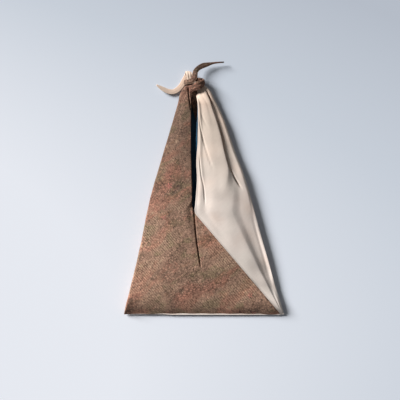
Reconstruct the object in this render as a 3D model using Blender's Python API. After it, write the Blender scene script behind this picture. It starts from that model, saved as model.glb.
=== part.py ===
"""Azuma bag: two outer cloths folded into a three-cornered bag, a lining, and two horns tied in a half knot.

Metres, +Z up. The bag lies on its back: +Y runs from the bottom edge to the knot, and +X is the front's right.
Each cloth is one sheet. Its rows run up the bag, into the knot and out along a tail. Its columns run from the
sheet's front end, round the side fold, to its back end.
"""

import bmesh
import bpy
import numpy as np
from mathutils import Vector

# The bag, corner to corner and bottom edge to knot
BASE_WIDTH = 0.430
KNOT_HEIGHT = 0.623
BODY_THICKNESS = 0.038

# The opening between the horns, in the front and in the back
SLIT_FOOT = 0.271
SLIT_WIDTH = 0.013
BACK_SLIT_WIDTH = 0.006
BACK_SLIT_SHIFT = 0.018

# Cloth, and the clearance between two cloths that touch
CLOTH = 0.0008
LINING_CLOTH = 0.0006
GAP = 0.0003
SEAM_GAP = 0.0006

# The bottom seam lies this high, and its back cloth comes down to the table this far in
SEAM_LIFT = 0.002
SEAM_RISE = 0.012
CORNER_WIDTH = 0.009

# How wide the side folds are rounded, how far in the back curls up to them, and how far the lining keeps from
# them and from the bottom seam
FOLD_RADIUS = 0.010
CURL_REACH = 0.020
LINING_INSET = 0.009
LINING_BOTTOM = 0.028

# The tied strands
STRAND_WIDTH = 0.017
STRAND_THICKNESS = 0.007
LAYER_PITCH = STRAND_THICKNESS + 0.001

# Where the middle of the knot lies across the bag, from the middle of the bottom edge
KNOT_ACROSS = -0.023

# The horns end and the strands begin here, this many strand widths below the middle of the knot
NECK_DROP = 1.25
GATHER_DROP = 3.6
NECK_HEIGHT = KNOT_HEIGHT - NECK_DROP * STRAND_WIDTH
GATHER_HEIGHT = KNOT_HEIGHT - GATHER_DROP * STRAND_WIDTH

# Outline of the front: (share of the neck's height, share of the base width)
LEFT_EDGE = ((0, -0.497), (0.29, -0.397), (0.51, -0.333), (0.73, -0.245), (0.91, -0.170), (1, -0.136))
RIGHT_EDGE = (
    (0, 0.503),
    (0.17, 0.430),
    (0.24, 0.403),
    (0.375, 0.349),
    (0.51, 0.298),
    (0.64, 0.242),
    (0.71, 0.204),
    (0.91, 0.102),
    (1, 0.028),
)

# Height of the front's crown along the bag: (share of the neck's height, share of the body's thickness)
CROWN = ((0.03, 0.36), (0.08, 0.60), (0.17, 0.84), (0.30, 0.97), (0.45, 1), (0.65, 0.93), (0.85, 0.82), (1, 0.76))

# Shares of the crown's height at the side folds: the front beside the fold, and the fold itself
SHOULDER_SHARE = 0.62
CORNER_SHARE = 1.35
FOLD_SHARE = 0.34

# How flat the crown is across the bag, the height over which the corners' raised edges fade, as a share of the
# slit foot's height, and how much of the side fold's height the back cloth takes up beside it
CROWN_FLATNESS = 2.4
CORNER_FADE = 0.3
CURL_SHARE = 0.3

# Slit opening: (share of the way from its foot to the neck, share of its width)
SLIT_OPENING = ((0, 0), (0.06, 0.42), (0.25, 0.62), (0.5, 1), (0.8, 1), (1, 0.6))

# The crease below the slit: (share of the foot's height, share of the body's thickness), its slant and its width
CREASE_DEPTH = ((0.4, 0), (0.6, 0.07), (0.8, 0.12), (0.95, 0.12), (1.3, 0.12))
CREASE_SLANT = 0.20
CREASE_REACH = 0.010
RIDGE_REACH = 0.012

# The smooth part of the patterned front: where its two lines lie between the side fold and the crease's ridge
OUTER_PLACE = 0.25
MIDDLE_PLACE = 0.6

# The right horn's deep pleat and narrow crease: where they lie, as (share of the neck's height, share of the way
# from the cloth's front end to the side fold), and how deep, in shares of the body's thickness
PLEAT_PLACE = ((0, 0.80), (0.25, 0.70), (0.45, 0.70), (0.60, 0.74), (0.87, 0.73), (1, 0.76))
PLEAT_DEPTH = ((0, 0), (0.12, 0.08), (0.30, 0.22), (0.45, 0.22), (0.60, 0.20), (1, 0.24))
PLEAT_LAP = 0.02

# How far left of the pleat its lip lies: (share of the neck's height, share of the width). The hollow is wider.
PLEAT_LIP = ((0, 0.28), (0.45, 0.24), (0.60, 0.10), (1, 0.08))
NARROW_CREASE_PLACE = ((0, 0.30), (0.5, 0.20), (0.75, 0.16), (1, 0.18))
NARROW_CREASE_DEPTH = ((0, 0), (0.3, 0), (0.48, 0.07), (0.7, 0.09), (1, 0.05))

# How far the cloths' free edges turn down into the slit, as shares of the crown's height. The patterned one also
# turns back a little, as a share of the slit's width, and the turn starts over this many slit widths.
TUCK_SHARE = 0.36
TURN_SHARE = 0.22
TUCK_BACK = 0.15
TURN_START = 3

# Height of the lining's front, as a share of the crown's height
LINING_SHARE = 0.44

# In the strands, each free edge of the cloth keeps this far from the middle of the strand's side. The strand's
# section is flat between its round sides: it turns from flat to round where the turn's cosine is 1 / FLAT_SIDES.
EDGE_CLEARANCE = 0.0005
FLAT_SIDES = 1.3

# Strand paths from the horn's gather to the tail's tip. Across and along are in strand widths from the middle
# of the knot, the level is in layers above the table, then come the shares of the strand's width and thickness,
# and 1 or -1 for the face that is up. It is 0 where the strand turns over.
PATTERNED_PATH = (
    (-1.62, -3.60, 1.90, 2.10, 2.60, 1),
    (-1.36, -2.05, 1.85, 1.95, 2.20, 1),
    (-1.04, -1.42, 2.20, 1.50, 1.50, 1),
    (-0.22, -1.08, 3.25, 1.00, 0.95, 1),
    (0.58, -0.64, 3.65, 1.24, 0.90, 1),
    (1.38, -0.16, 2.50, 0.95, 0.95, 0),
    (0.71, 0.18, 0.90, 0.90, 0.92, -1),
    (-0.32, 0.15, 0.75, 0.90, 0.90, -1),
    (-1.14, -0.08, 1.00, 0.85, 0.90, -1),
    (-1.54, -0.16, 1.95, 0.85, 0.95, 0),
    (-1.10, -0.12, 3.10, 0.76, 0.90, 1),
    (-0.47, 0.04, 3.60, 0.82, 0.90, 1),
    (-0.09, 0.50, 3.50, 0.90, 0.92, 1),
    (0.02, 1.08, 3.05, 0.84, 0.90, 1),
    (0.12, 1.58, 2.60, 0.80, 0.80, 1),
    (0.55, 2.10, 2.40, 0.76, 0.70, 1),
    (1.23, 2.50, 2.45, 0.82, 0.62, 1),
    (1.95, 2.70, 2.55, 0.66, 0.56, 1),
    (2.75, 2.90, 2.60, 0.38, 0.53, 1),
    (3.60, 3.02, 2.65, 0.28, 0.51, 1),
    (4.58, 3.08, 2.65, 0.26, 0.50, 1),
)
PLAIN_PATH = (
    (1.82, -3.60, 1.90, 3.00, 2.60, 1),
    (1.43, -2.05, 1.85, 2.45, 2.30, 1),
    (1.02, -1.34, 1.75, 1.75, 1.45, 1),
    (0.66, -1.00, 1.75, 1.10, 1.08, 1),
    (0.34, -0.70, 1.80, 0.92, 0.95, 1),
    (-0.40, -0.10, 1.92, 0.88, 0.90, 1),
    (-0.76, 0.58, 2.20, 1.00, 0.95, 1),
    (-0.88, 1.14, 2.35, 0.96, 0.90, 1),
    (-1.04, 1.50, 1.70, 0.93, 0.88, 0),
    (-1.22, 1.10, 0.85, 0.84, 0.75, -1),
    (-1.66, 0.32, 0.45, 0.76, 0.64, -1),
    (-2.18, -0.60, 0.42, 0.76, 0.61, -1),
    (-2.80, -1.20, 0.50, 0.74, 0.59, -1),
    (-3.40, -1.48, 0.58, 0.70, 0.57, -1),
    (-4.15, -1.46, 0.70, 0.66, 0.55, -1),
    (-5.10, -1.06, 0.92, 0.52, 0.53, -1),
    (-6.05, -0.48, 1.15, 0.28, 0.50, -1),
)
STRAND_STEP = 0.0082

# Where the cloths' fold lines run on in the strands, in half turns round the strand from the front end
PATTERNED_ANGLES = (0, 0.10, 0.20, 0.30, 0.45, 0.63, 0.82, 1, 1.2, 1.4, 1.7, 2)
PLAIN_ANGLES = (0, 0.10, 0.20, 0.36, 0.55, 0.62, 0.72, 0.84, 1, 1.2, 1.4, 1.7, 2)

# Rows up the bag, as shares of the way to the slit's foot and from there to the gather
BODY_ROWS = (0, 0.02, 0.05, 0.10, 0.18, 0.30, 0.45, 0.62, 0.78, 0.91)
HORN_ROWS = (0, 0.04, 0.11, 0.21, 0.33, 0.46, 0.60, 0.74, 0.88)
COLUMNS_BETWEEN_LINES = 2


def through(points, at):
    """A smooth curve through (place, value) points, read at `at`. It never swings past its points."""
    places, values = np.array(points, float).T
    gap = np.diff(places)
    chord = np.diff(values) / gap
    slope = np.concatenate([chord[:1], np.zeros(len(gap) - 1), chord[-1:]])
    same_way = chord[1:] * chord[:-1] > 0
    product = np.where(same_way, 2 * chord[1:] * chord[:-1], 0)
    slope[1:-1] = product / np.where(same_way, chord[1:] + chord[:-1], 1)
    k = np.clip(np.searchsorted(places, at, side="right") - 1, 0, len(gap) - 1)
    w = np.clip((at - places[k]) / gap[k], 0, 1)
    rise = w * w * (3 - 2 * w)
    bend_in = w * (1 - w) ** 2 * gap[k] * slope[k]
    bend_out = w * w * (w - 1) * gap[k] * slope[k + 1]
    return values[k] + (values[k + 1] - values[k]) * rise + bend_in + bend_out


def across(lines, columns):
    """Joins the lines of each row, as (row, line, coordinate), with a smooth curve of `columns` steps a span.

    The curve leaves each line between the directions of its two spans, at the speed of the shorter one, so that a
    long span beside a short one doesn't swing out.
    """
    step = np.diff(lines, axis=1)
    length = np.linalg.norm(step, axis=2, keepdims=True) + 1e-9
    unit = step / length
    before, after = length[:, :-1], length[:, 1:]
    middle = (unit[:, :-1] * after + unit[:, 1:] * before) / (before + after) * np.minimum(before, after)
    slope = np.concatenate([step[:, :1], middle, step[:, -1:]], axis=1)
    w = (np.arange(columns) / columns)[None, None, :, None]
    start, end = lines[:, :-1, None], lines[:, 1:, None]
    curve = (
        start
        + (end - start) * w * w * (3 - 2 * w)
        + slope[:, :-1, None] * w * (1 - w) ** 2
        + slope[:, 1:, None] * w * w * (w - 1)
    )
    rows = len(lines)
    return np.concatenate([curve.reshape(rows, -1, 2), lines[:, -1:]], axis=1)


def smooth_step(value):
    value = np.clip(value, 0, 1)
    return value * value * (3 - 2 * value)


def edges_of(y):
    """The left and right side folds at each height."""
    share = y / NECK_HEIGHT
    return BASE_WIDTH * through(LEFT_EDGE, share), BASE_WIDTH * through(RIGHT_EDGE, share)


def front_middle(y):
    """The slanting seam from the right corner up to the slit's foot, then the middle of the slit."""
    right = edges_of(np.zeros(1))[1][0] - CORNER_WIDTH
    seam = right + (KNOT_ACROSS - right) * (y / SLIT_FOOT)
    return np.where(y < SLIT_FOOT, seam, KNOT_ACROSS - 0.25 * SLIT_WIDTH * smooth_step((y - SLIT_FOOT) / SLIT_WIDTH))


def back_middle(y):
    """The same on the back, from the left corner up."""
    left = edges_of(np.zeros(1))[0][0] + CORNER_WIDTH
    foot = KNOT_ACROSS + BACK_SLIT_SHIFT
    seam = left + (foot - left) * (y / SLIT_FOOT)
    closing = smooth_step((y - SLIT_FOOT) / (GATHER_HEIGHT - SLIT_FOOT))
    return np.where(y < SLIT_FOOT, seam, foot - 0.5 * BACK_SLIT_SHIFT * closing)


def opening(y, width):
    """How far the two sides of a seam, and of the slit above it, stand apart."""
    return SEAM_GAP + width * through(SLIT_OPENING, (y - SLIT_FOOT) / (NECK_HEIGHT - SLIT_FOOT)) * (y > SLIT_FOOT)


def crown(y):
    low = SEAM_LIFT + 2 * CLOTH + GAP
    return through(((0, low / BODY_THICKNESS),) + CROWN, y / NECK_HEIGHT) * BODY_THICKNESS


def seam_lift(y):
    """Height of the back cloth: off the table at the bottom seam, and on it from there up."""
    return SEAM_LIFT * np.clip(1 - y / SEAM_RISE, 0, 1) ** 2


def dome(x, y):
    """The smooth front: highest along the middle, lower beside the folds, level along the bottom seam."""
    left, right = edges_of(y)
    off_middle = np.clip(np.abs(2 * (x - left) / (right - left) - 1), 0, 1)
    shoulder = CORNER_SHARE + (SHOULDER_SHARE - CORNER_SHARE) * smooth_step(y / (CORNER_FADE * SLIT_FOOT))
    return crown(y) * (1 - (1 - shoulder) * off_middle**CROWN_FLATNESS)


def fold_height(y):
    """Height of the side folds, half way between the two cloths at the bottom seam."""
    level = (CORNER_SHARE * crown(y) + seam_lift(y)) / 2
    return level + (FOLD_SHARE * crown(y) - level) * smooth_step(y / (CORNER_FADE * SLIT_FOOT))


def reach_in(width, most):
    """A distance in from a fold: up to `most`, and less where the cloth beside the fold is narrow."""
    return most * width / (width + 2 * most)


def back_lines(y, fold, end):
    """The four lines from a side fold to the back end of its cloth."""
    toward = np.sign(end - fold)
    width = np.abs(end - fold)
    rounded = reach_in(width, FOLD_RADIUS)
    flat = rounded + reach_in(width, CURL_REACH)
    floor = seam_lift(y)
    curl = CURL_SHARE * (fold_height(y) - floor)
    return [
        (fold + toward * rounded, floor + curl),
        (fold + toward * flat, floor),
        (fold + toward * (flat + 0.5 * (width - flat)), floor),
        (end, floor),
    ]


def patterned_lines(y):
    """Fold lines of the patterned cloth, from its front end to its back end."""
    left, _ = edges_of(y)
    end = front_middle(y) - opening(y, SLIT_WIDTH) / 2
    above_foot = smooth_step((y - SLIT_FOOT) / (TURN_START * SLIT_WIDTH))
    share = y / SLIT_FOOT

    # The crease runs on below the slit's foot, leaving the seam, and fades half way down
    depth = BODY_THICKNESS * through(CREASE_DEPTH, share)
    crease = end - (CREASE_REACH * (1 - above_foot))
    crease = np.where(share < 1, KNOT_ACROSS - CREASE_REACH + CREASE_SLANT * (SLIT_FOOT - y), crease)
    ridge = crease - RIDGE_REACH * (1 + np.clip(1 - share, 0, 1)) * (1 - 0.9 * above_foot)
    tuck = TUCK_SHARE * crown(y) * above_foot
    tucked_end = end - TUCK_BACK * SLIT_WIDTH * above_foot
    under = crease + (end - crease) * 0.35
    shoulder = left + reach_in(end - left, FOLD_RADIUS)
    middle = left + MIDDLE_PLACE * (ridge - left)
    outer = left + OUTER_PLACE * (ridge - left)
    return [
        (tucked_end, dome(end, y) - tuck),
        (under - 0.1 * SLIT_WIDTH * above_foot, dome(under, y) - 0.35 * depth * (1 - above_foot) - 0.55 * tuck),
        (crease, dome(crease, y) - depth * (1 - above_foot) - 0.18 * tuck),
        (ridge, dome(ridge, y)),
        (middle, dome(middle, y)),
        (outer, dome(outer, y)),
        (shoulder, dome(shoulder, y)),
        (left, fold_height(y)),
        *back_lines(y, left, back_middle(y) - opening(y, BACK_SLIT_WIDTH) / 2),
    ]


def plain_lines(y):
    """Fold lines of the plain cloth, from its front end to its back end."""
    _, right = edges_of(y)
    end = front_middle(y) + opening(y, SLIT_WIDTH) / 2
    width = right - end
    above_foot = smooth_step((y - SLIT_FOOT) / (TURN_START * SLIT_WIDTH))
    share = y / NECK_HEIGHT

    # A deep pleat runs from the knot down the horn, and a wide hollow goes on below it
    shoulder = right - reach_in(width, FOLD_RADIUS)
    width = shoulder - end
    pleat = end + width * through(PLEAT_PLACE, share)
    pleat_depth = BODY_THICKNESS * through(PLEAT_DEPTH, share)
    lap = PLEAT_LAP * width * smooth_step((share - 0.5) / 0.1)
    left_crease = end + width * through(NARROW_CREASE_PLACE, share)
    crease_depth = BODY_THICKNESS * through(NARROW_CREASE_DEPTH, share)
    turn = TURN_SHARE * crown(y) * above_foot
    edge_ridge = end + 0.45 * (left_crease - end)
    lip = pleat - lap - width * through(PLEAT_LIP, share)
    crest = left_crease + 0.5 * (lip - left_crease)
    beyond = pleat + 0.35 * (shoulder - pleat)
    return [
        (end, dome(end, y) - turn),
        (edge_ridge, dome(edge_ridge, y)),
        (left_crease, dome(left_crease, y) - crease_depth),
        (crest, dome(crest, y)),
        (lip + 0.5 * lap, dome(lip, y)),
        (pleat - 0.5 * lap, dome(pleat, y) - pleat_depth),
        (beyond, dome(beyond, y) - 0.3 * pleat_depth),
        (shoulder, dome(shoulder, y)),
        (right, fold_height(y)),
        *back_lines(y, right, back_middle(y) + opening(y, BACK_SLIT_WIDTH) / 2),
    ]


def sheet_columns(lines_at, y, columns):
    """The cloth's rows at the heights y, as (row, column, xyz). Cloth that would sag through the table lies on it."""
    lines = np.stack([np.stack(line, axis=-1) for line in lines_at(y)], axis=1)
    section = across(lines, columns)
    height = np.broadcast_to(y[:, None], section.shape[:2])
    return np.stack([section[..., 0], height, np.maximum(section[..., 1], 0)], axis=-1)


def strand_stations(path):
    """Centres, half widths, half thicknesses and frames along a strand, a step apart."""
    table = np.array(path)
    centres = np.empty((len(table), 3))
    centres[:, 0] = KNOT_ACROSS + STRAND_WIDTH * table[:, 0]
    centres[:, 1] = KNOT_HEIGHT + STRAND_WIDTH * table[:, 1]
    centres[:, 2] = LAYER_PITCH * table[:, 2]
    along = np.concatenate([[0], np.cumsum(np.linalg.norm(np.diff(centres, axis=0), axis=1))])
    at = np.linspace(0, along[-1], int(round(along[-1] / STRAND_STEP)) + 1)
    centre = np.stack([round_through(along, centres[:, k], at) for k in range(3)], axis=1)
    half_width = 0.5 * STRAND_WIDTH * through(list(zip(along, table[:, 3])), at)
    half_thickness = 0.5 * STRAND_THICKNESS * through(list(zip(along, table[:, 4])), at)
    ahead = np.gradient(centre, axis=0)
    ahead /= np.linalg.norm(ahead, axis=1, keepdims=True)
    side, up = laid_flat(ahead, np.interp(at, along, table[:, 5]), *carried_frame(ahead))
    return centre, half_width, half_thickness, side, up


def laid_flat(ahead, face, side, up):
    """Rolls each station's frame so that the strand lies flat to the table with the given face up."""
    level = np.array([0, 0, 1.0]) - ahead[:, 2:] * ahead
    steep = np.linalg.norm(level, axis=1)
    clear = (np.abs(face) > 0.99) & (steep > 0.6)
    level *= np.sign(face)[:, None]
    roll = np.arctan2(np.sum(level * side, axis=1), np.sum(level * up, axis=1))
    roll = np.interp(np.arange(len(roll)), np.flatnonzero(clear), np.unwrap(roll[clear]))[:, None]
    return side * np.cos(roll) - up * np.sin(roll), up * np.cos(roll) + side * np.sin(roll)


def round_through(places, values, at):
    """A rounder curve through the points than `through` gives, for a path that turns back on itself."""
    gap = np.diff(places)
    chord = np.diff(values) / gap
    slope = np.concatenate([chord[:1], (chord[1:] * gap[:-1] + chord[:-1] * gap[1:]) / (gap[1:] + gap[:-1]), chord[-1:]])
    k = np.clip(np.searchsorted(places, at, side="right") - 1, 0, len(gap) - 1)
    w = (at - places[k]) / gap[k]
    rise = w * w * (3 - 2 * w)
    bend_in = w * (1 - w) ** 2 * gap[k] * slope[k]
    bend_out = w * w * (w - 1) * gap[k] * slope[k + 1]
    return values[k] + (values[k + 1] - values[k]) * rise + bend_in + bend_out


def carried_frame(ahead):
    """Side and up at each station, carried along the strand so that it turns no more than its path does."""
    up = Vector((0, 0, 1))
    sides, ups = [], []
    last = Vector(ahead[0])
    for direction in ahead:
        here = Vector(direction)
        up = last.rotation_difference(here) @ up
        up = (up - here * up.dot(here)).normalized()
        sides.append(here.cross(up))
        ups.append(up)
        last = here
    return np.array(sides), np.array(ups)


def strand_rows(lines_at, path, angles, columns, mirrored):
    """Rows from the gather to the tail's tip. The horn's section turns into the strand's on the way to the neck."""
    centre, half_width, half_thickness, side, up = strand_stations(path)
    turn = np.interp(np.arange(columns * (len(angles) - 1) + 1) / columns, np.arange(len(angles)), angles)
    free = np.arcsin(EDGE_CLEARANCE / half_thickness)[:, None]
    angle = free + turn * (np.pi - free)
    handed = -1 if mirrored else 1
    flat = np.clip(FLAT_SIDES * np.cos(angle), -1, 1) * (half_width - half_thickness)[:, None]
    sideways = handed * (half_thickness[:, None] * np.cos(angle) + flat)
    upwards = half_thickness[:, None] * np.sin(angle)
    strand = centre[:, None] + sideways[..., None] * side[:, None] + upwards[..., None] * up[:, None]
    first_past = np.argmax(centre[:, 1] > NECK_HEIGHT)
    low = np.minimum(centre[:first_past, 1], NECK_HEIGHT)
    horn = sheet_columns(lines_at, low, columns)
    mix = smooth_step((low - GATHER_HEIGHT) / (NECK_HEIGHT - GATHER_HEIGHT))[:, None, None]
    strand[:first_past] = horn * (1 - mix) + strand[:first_past] * mix
    strand[..., 2] = np.maximum(strand[..., 2], 0)
    return strand


def bag_heights():
    body = SLIT_FOOT * np.array(BODY_ROWS)
    horn = SLIT_FOOT + (GATHER_HEIGHT - SLIT_FOOT) * np.array(HORN_ROWS)
    return np.concatenate([body, horn])


def outer_grid(lines_at, path, angles, mirrored):
    columns = COLUMNS_BETWEEN_LINES
    rows = sheet_columns(lines_at, bag_heights(), columns)
    return np.concatenate([rows, strand_rows(lines_at, path, angles, columns, mirrored)])


def lining_lines(y, side):
    """Fold lines of the lining on one side of the bag (-1 left, +1 right), inside the outer cloth."""
    left, right = edges_of(y)
    fold = (left if side < 0 else right) - side * LINING_INSET
    front_end = front_middle(y) + side * (opening(y, SLIT_WIDTH) - SEAM_GAP) / 2
    back_end = back_middle(y) + side * (opening(y, BACK_SLIT_WIDTH) - SEAM_GAP) / 2
    front_end = np.clip(front_end, left + LINING_INSET, right - LINING_INSET)
    back_end = np.clip(back_end, left + LINING_INSET, right - LINING_INSET)
    height = LINING_SHARE * crown(y)
    floor = seam_lift(y) + CLOTH + GAP
    fold_level = 0.5 * (floor + height)
    toward = front_end - fold
    reach = np.sign(toward) * reach_in(np.abs(toward), FOLD_RADIUS)
    return [
        (front_end, height),
        (fold + 0.55 * toward, height),
        (fold + reach, 0.9 * height),
        (fold, fold_level),
        *lining_back(y, fold, back_end, floor, fold_level),
    ]


def lining_back(y, fold, end, floor, fold_level):
    """The lining's back lies on the outer back and keeps clear of it where that curls up to the fold."""
    toward = np.sign(end - fold)
    width = np.abs(end - fold)
    rounded = reach_in(width, FOLD_RADIUS)
    flat = rounded + reach_in(width, CURL_REACH)
    return [
        (fold + toward * rounded, floor + 0.65 * (fold_level - floor)),
        (fold + toward * flat, floor + 0.2 * (fold_level - floor)),
        (fold + toward * (flat + 0.5 * (width - flat)), floor),
        (end, floor),
    ]


def lining_heights():
    heights = bag_heights()
    return np.concatenate([[LINING_BOTTOM], heights[heights > LINING_BOTTOM + SEAM_RISE], [GATHER_HEIGHT]])


def add_grid(bm, grid):
    """Adds a (row, column, xyz) grid of points and the quads between them."""
    verts = [[bm.verts.new(point) for point in row] for row in grid]
    for low, high in zip(verts, verts[1:]):
        for k in range(len(low) - 1):
            bm.faces.new((low[k], low[k + 1], high[k + 1], high[k]))
    return verts


def cloth_material(name, colour, roughness):
    material = bpy.data.materials.new(name)
    material.use_nodes = True
    shader = material.node_tree.nodes["Principled BSDF"]
    shader.inputs["Base Color"].default_value = (*colour, 1)
    shader.inputs["Roughness"].default_value = roughness
    shader.inputs["Metallic"].default_value = 0
    return material


def cloth_object(name, bm, thickness, material):
    """A mesh object of the cloth's outer face, with its thickness added on the inner side."""
    mesh = bpy.data.meshes.new(name)
    bm.to_mesh(mesh)
    bm.free()
    mesh.materials.append(material)
    mesh.shade_smooth()
    cloth = bpy.data.objects.new(name, mesh)
    bpy.context.collection.objects.link(cloth)
    wall = cloth.modifiers.new("Thickness", "SOLIDIFY")
    wall.thickness = thickness
    wall.offset = -1
    return cloth


def outer_cloth(name, grid, facing, material):
    """One outer cloth. `facing` turns its faces outwards."""
    bm = bmesh.new()
    add_grid(bm, grid if facing > 0 else grid[:, ::-1])
    return cloth_object(name, bm, CLOTH, material)


def lining_cloth(material):
    """Both sides of the lining, sewn to each other below the slits and closed along the bottom."""
    bm = bmesh.new()
    y = lining_heights()
    left = sheet_columns(lambda at: lining_lines(at, -1), y, COLUMNS_BETWEEN_LINES)
    right = sheet_columns(lambda at: lining_lines(at, 1), y, COLUMNS_BETWEEN_LINES)
    left_verts = add_grid(bm, left[:, ::-1])
    right_verts = add_grid(bm, right)
    sewn = int(np.sum(y <= SLIT_FOOT))
    pairs = {}
    for row in range(sewn):
        pairs[right_verts[row][0]] = left_verts[row][-1]
        pairs[right_verts[row][-1]] = left_verts[row][0]
    bmesh.ops.weld_verts(bm, targetmap=pairs)
    bottom = [
        edge
        for edge in bm.edges
        if edge.is_boundary and all(abs(vert.co.y - LINING_BOTTOM) < 1e-6 for vert in edge.verts)
    ]
    bmesh.ops.holes_fill(bm, edges=bottom, sides=0)
    bmesh.ops.recalc_face_normals(bm, faces=bm.faces)
    return cloth_object("lining", bm, LINING_CLOTH, material)


def centre_on_origin(objects):
    """Puts the origin under the middle of the bag's box, on the table."""
    corners = np.concatenate(
        [np.array([vert.co[:] for vert in cloth.data.vertices]) for cloth in objects]
    )
    low, high = corners.min(axis=0), corners.max(axis=0)
    for cloth in objects:
        cloth.location = (-(low[0] + high[0]) / 2, -(low[1] + high[1]) / 2, -low[2])


def main():
    for leftover in list(bpy.data.objects):
        bpy.data.objects.remove(leftover)
    brown = cloth_material("patterned_cloth", (0.216, 0.138, 0.098), 0.85)
    beige = cloth_material("plain_cloth", (0.58, 0.50, 0.42), 0.85)
    teal = cloth_material("lining_cloth", (0.019, 0.098, 0.156), 0.8)
    patterned = outer_grid(patterned_lines, PATTERNED_PATH, PATTERNED_ANGLES, False)
    plain = outer_grid(plain_lines, PLAIN_PATH, PLAIN_ANGLES, True)
    bag = [
        outer_cloth("patterned_panel", patterned, -1, brown),
        outer_cloth("plain_panel", plain, 1, beige),
        lining_cloth(teal),
    ]
    centre_on_origin(bag)


main()
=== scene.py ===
import bpy
import numpy as np
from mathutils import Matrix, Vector


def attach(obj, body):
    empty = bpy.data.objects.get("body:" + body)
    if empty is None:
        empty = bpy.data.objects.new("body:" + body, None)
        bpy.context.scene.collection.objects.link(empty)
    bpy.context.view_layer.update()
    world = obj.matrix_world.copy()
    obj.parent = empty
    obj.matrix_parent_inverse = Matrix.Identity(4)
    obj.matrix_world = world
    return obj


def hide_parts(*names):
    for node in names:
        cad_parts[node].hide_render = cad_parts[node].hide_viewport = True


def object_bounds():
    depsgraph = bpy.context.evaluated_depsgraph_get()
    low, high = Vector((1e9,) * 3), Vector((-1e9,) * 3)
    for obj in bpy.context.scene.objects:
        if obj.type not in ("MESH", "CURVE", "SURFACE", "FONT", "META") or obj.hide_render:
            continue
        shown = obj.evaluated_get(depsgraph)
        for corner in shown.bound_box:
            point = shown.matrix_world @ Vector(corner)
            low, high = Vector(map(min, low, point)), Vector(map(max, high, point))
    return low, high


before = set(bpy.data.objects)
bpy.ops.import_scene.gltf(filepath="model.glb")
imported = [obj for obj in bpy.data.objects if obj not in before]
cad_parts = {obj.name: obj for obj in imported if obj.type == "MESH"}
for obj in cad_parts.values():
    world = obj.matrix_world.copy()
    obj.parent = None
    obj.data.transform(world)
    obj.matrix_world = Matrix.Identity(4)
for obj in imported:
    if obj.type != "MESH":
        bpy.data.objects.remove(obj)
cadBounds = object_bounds()
print("frame loaded")

# What the cloths share: the bag's main sizes and the finish of its shape
bag = {
    "baseWidth": 0.430,
    "knotHeight": 0.623,
    "thickness": 0.038,
    "slitFoot": 0.271,  # height of the slit's lower end
    "slitWidth": 0.013,
    "slitLean": 0.25,  # how far the slit's middle moves left above its foot, in slit widths
    "backSlitWidth": 0.006,
    "backSlitShift": 0.018,
    "seamGap": 0.0002,  # between the two outer cloths along their seams
    "cornerWidth": 0.009,  # from a bottom corner to the start of its slanting seam
    "foldRadius": 0.010,
    "curlReach": 0.020,
    "cloth": 0.0008,
    "seamLift": 0.0045,  # how far the back stands off the table at the bottom seam
    "seamLiftReach": 0.020,
    "bottomShoulder": 1.35,  # height beside the side folds over height in the middle, at the bottom seam
    "shoulder": 0.62,  # the same, further up
    "levelReach": 0.3,  # where that takes over, as a share of the slit foot's height
    "leftFlatness": 4.0,
    "rightFlatness": 2.4,
    "leftFoldShare": 0.34,  # height of the left side fold as a share of the crown
    "knotAcross": -0.023,
    "neckDrop": 1.25,  # from the knot's middle down to the neck, in strand widths
    "gatherDrop": 3.6,  # from the knot's middle down to the gather, in strand widths
    "strandWidth": 0.017,
    "strandThickness": 0.007,
    "layerPitch": 0.008,
    "edgeGap": 0.0005,  # between the two long edges of a rolled strand
    "closeTop": 0.03,  # below this height the rows lie closer together
    "closeRows": 14,
    "closePacking": 1.5,
    "ridgesFrom": 0.47,  # height at which the gathered ridges begin
    "ridgesGrow": 0.12,  # and over which they grow
}
neckHeight = bag["knotHeight"] - bag["neckDrop"] * bag["strandWidth"]
gatherHeight = bag["knotHeight"] - bag["gatherDrop"] * bag["strandWidth"]

# Outline and crown: (share of the neck's height, share of the base width or of the body's thickness)
leftEdge = ((0, -0.497), (0.29, -0.397), (0.51, -0.333), (0.73, -0.245), (0.91, -0.170), (1, -0.136))
rightEdge = ((0, 0.503), (0.17, 0.430), (0.24, 0.403), (0.375, 0.349), (0.51, 0.298), (0.64, 0.242),
             (0.71, 0.204), (0.91, 0.102), (1, 0.028))
crownShape = ((0, 0.10), (0.03, 0.36), (0.08, 0.60), (0.17, 0.84), (0.30, 0.97), (0.45, 1), (0.65, 0.93),
              (0.85, 0.82), (1, 0.76))
# Height of the right side fold as a share of the crown, and the slit's width as a share of its widest
rightFoldShare = ((0, 0.36), (0.12, 0.40), (0.35, 0.42), (0.55, 0.40), (0.75, 0.36), (1, 0.32))
slitOpening = ((0, 0), (0.06, 0.42), (0.25, 0.72), (0.5, 1), (0.8, 1), (1, 0.6))

middleAcross = cadBounds[0][0] - bag["baseWidth"] * leftEdge[0][1]  # where x = 0 lies in the frame
bottomAlong = cadBounds[0][1]  # where y = 0 lies in the frame


# Curves and the bag's surfaces
def curveThrough(points, at):
    # cubic pieces between the points, with slopes that never let it swing past a point
    places, values = np.array(points, float).T
    gap = np.diff(places)
    chord = np.diff(values) / gap
    slope = np.concatenate([chord[:1], np.zeros(len(gap) - 1), chord[-1:]])
    same = chord[1:] * chord[:-1] > 0
    slope[1:-1] = np.where(same, 2 * chord[1:] * chord[:-1], 0) / np.where(same, chord[1:] + chord[:-1], 1)
    k = np.clip(np.searchsorted(places, at, side="right") - 1, 0, len(gap) - 1)
    w = np.clip((at - places[k]) / gap[k], 0, 1)
    return (values[k] + (values[k + 1] - values[k]) * w * w * (3 - 2 * w)
            + w * (1 - w) ** 2 * gap[k] * slope[k] + w * w * (w - 1) * gap[k] * slope[k + 1])


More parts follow.
